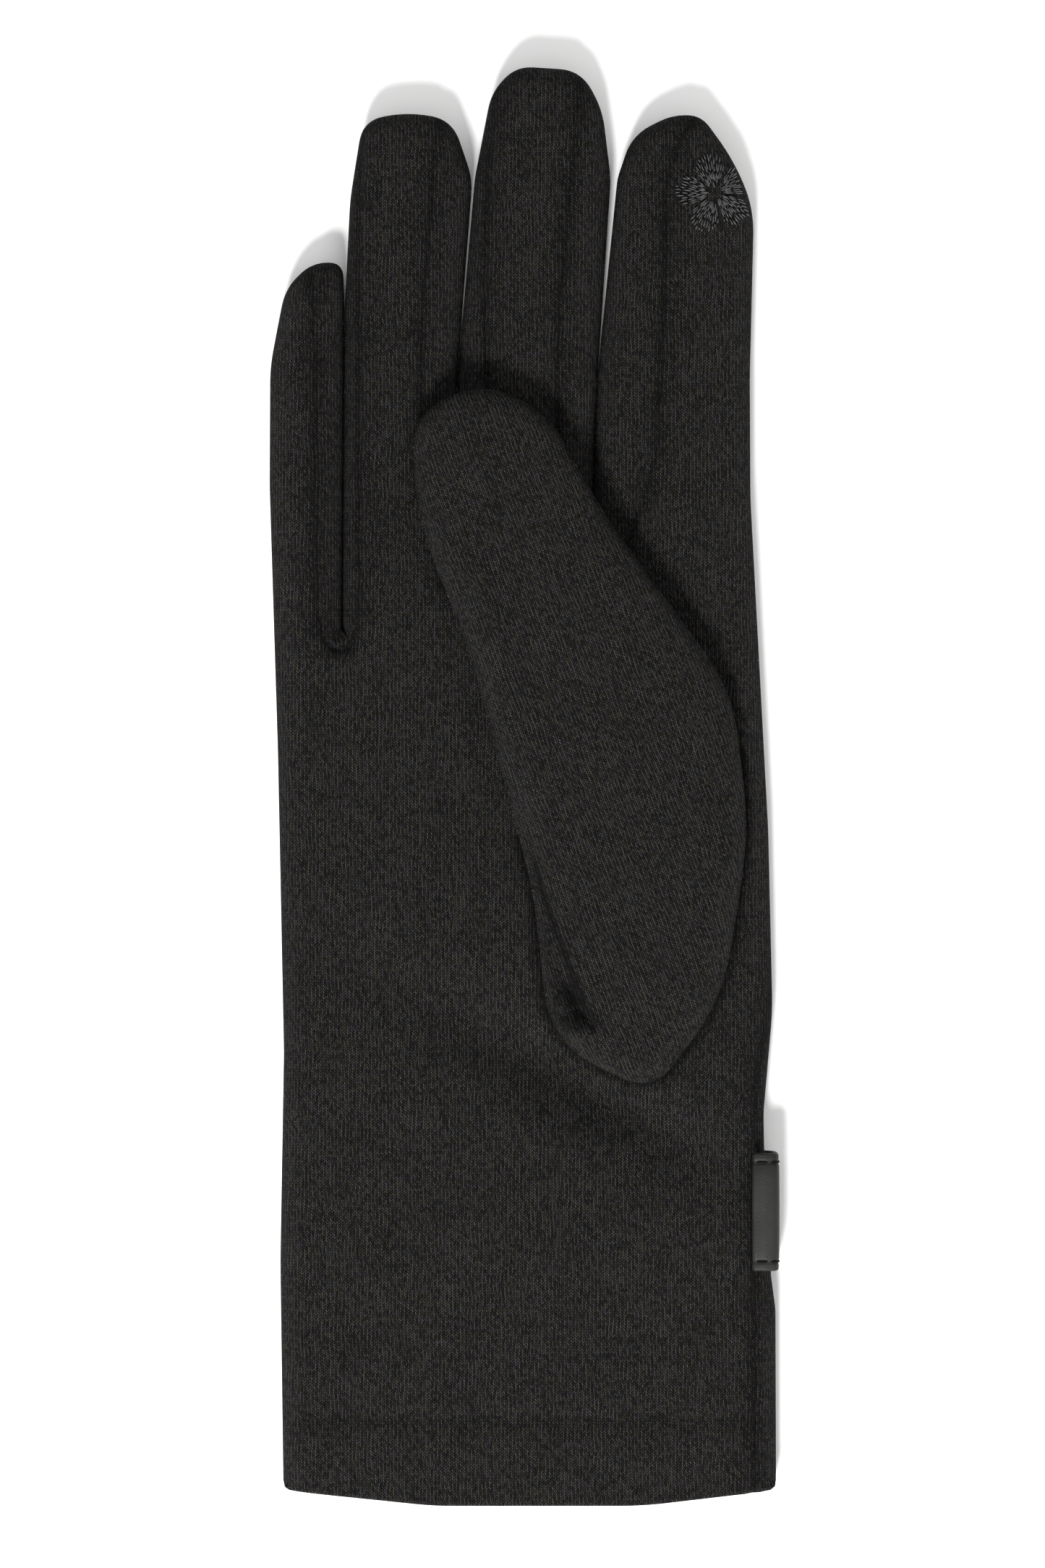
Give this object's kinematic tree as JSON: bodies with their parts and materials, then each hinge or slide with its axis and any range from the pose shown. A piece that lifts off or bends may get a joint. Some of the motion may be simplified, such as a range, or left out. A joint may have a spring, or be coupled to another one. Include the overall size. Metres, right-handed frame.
{
  "type": "touchscreen glove",
  "caption": "Right-hand brushed-jersey touchscreen glove, palm up with the thumb folded over, gusseted finger sleeves, leather wrist strap and flower embroidery on the index fingertip.",
  "frame": {"origin": "middle of the glove's footprint, on the surface that the back of the hand lies on", "axes": "+X towards the index finger, +Y from the cuff to the fingertips, +Z out of the palm"},
  "size_m": [0.0852, 0.2399, 0.0156],
  "materials": {
    "black_jersey": "matt, brushed",
    "black_leather": "soft satin grain",
    "black_thread": "twisted thread",
    "grey_conductive_thread": "satin-stitched, slightly shiny"
  },
  "bodies": {
    "hand": {"palm_panel": "black_jersey", "back_panel": "black_jersey", "fourchette_little_ring": "black_jersey", "fourchette_ring_middle": "black_jersey", "fourchette_middle_index": "black_jersey", "thumb_base": "black_jersey", "cuff_hem": "black_jersey", "hem_stitching": "black_thread", "strap": "black_leather", "strap_stitching": "black_thread"},
    "little_finger": {"little_palm_side": "black_jersey", "little_back_side": "black_jersey", "little_fourchette_right": "black_jersey"},
    "ring_finger": {"ring_palm_side": "black_jersey", "ring_back_side": "black_jersey", "ring_fourchette_left": "black_jersey", "ring_fourchette_right": "black_jersey"},
    "middle_finger": {"middle_palm_side": "black_jersey", "middle_back_side": "black_jersey", "middle_fourchette_left": "black_jersey", "middle_fourchette_right": "black_jersey"},
    "index_finger": {"index_palm_side": "black_jersey", "index_back_side": "black_jersey", "index_fourchette_left": "black_jersey", "touch_flower": "grey_conductive_thread"},
    "thumb": {"thumb_sleeve": "black_jersey"}
  },
  "joints": [
    {"name": "little_bend", "type": "hinge", "parent": "hand", "child": "little_finger", "pos_m": [-0.036, 0.05, 0.0084], "axis": [1, 0, 0], "range_deg": [0, 90]},
    {"name": "ring_bend", "type": "hinge", "parent": "hand", "child": "ring_finger", "pos_m": [-0.0204, 0.068, 0.0084], "axis": [1, 0, 0], "range_deg": [0, 90]},
    {"name": "middle_bend", "type": "hinge", "parent": "hand", "child": "middle_finger", "pos_m": [0.0008, 0.069, 0.0084], "axis": [1, 0, 0], "range_deg": [0, 90]},
    {"name": "index_bend", "type": "hinge", "parent": "hand", "child": "index_finger", "pos_m": [0.026, 0.062, 0.0084], "axis": [1, 0, 0], "range_deg": [0, 90]},
    {"name": "thumb_lift", "type": "hinge", "parent": "hand", "child": "thumb", "pos_m": [0.0165, -0.002, 0.0156], "axis": [0.9397, 0.342, 0], "range_deg": [0, 90]}
  ]
}
